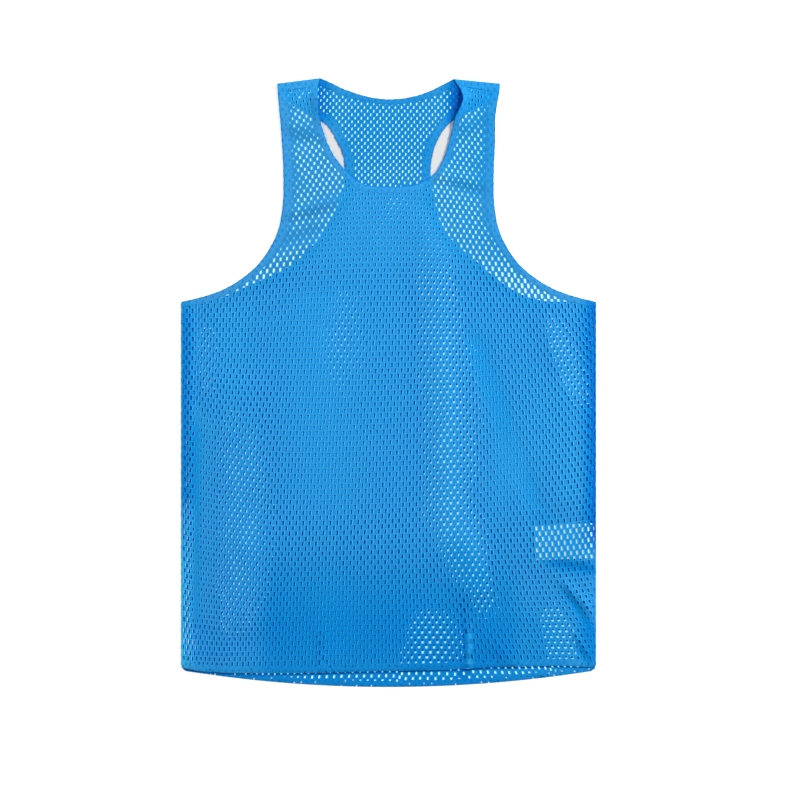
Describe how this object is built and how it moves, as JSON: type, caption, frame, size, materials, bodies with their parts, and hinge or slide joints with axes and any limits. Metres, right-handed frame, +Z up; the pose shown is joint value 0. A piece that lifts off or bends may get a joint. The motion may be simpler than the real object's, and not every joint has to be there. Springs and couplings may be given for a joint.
{
  "type": "running singlet",
  "caption": "Racerback running singlet in large-hole mesh knit with bound neck and armholes and a longer curved back hem, laid flat with its front up.",
  "frame": {"origin": "on the surface it lies on, under the middle of its outline", "axes": "+X to the picture's right across the chest, +Y from hem to neck, +Z up from the surface"},
  "size_m": [0.5, 0.735, 0.0072],
  "materials": {
    "mesh_knit": "matt polyester mesh knit with staggered oval holes",
    "binding_knit": "smooth close knit, faint sheen along its length",
    "label_tape": "white woven tape, blank"
  },
  "bodies": {
    "root": {"front_panel": "mesh_knit", "back_panel": "mesh_knit", "front_neck_binding": "binding_knit", "back_neck_binding": "binding_knit", "front_armhole_binding_left": "binding_knit", "front_armhole_binding_right": "binding_knit", "back_armhole_binding_left": "binding_knit", "back_armhole_binding_right": "binding_knit", "front_hem": "binding_knit", "back_hem": "binding_knit", "shoulder_strip_left": "binding_knit", "shoulder_strip_right": "binding_knit", "care_label": "label_tape"}
  },
  "joints": []
}
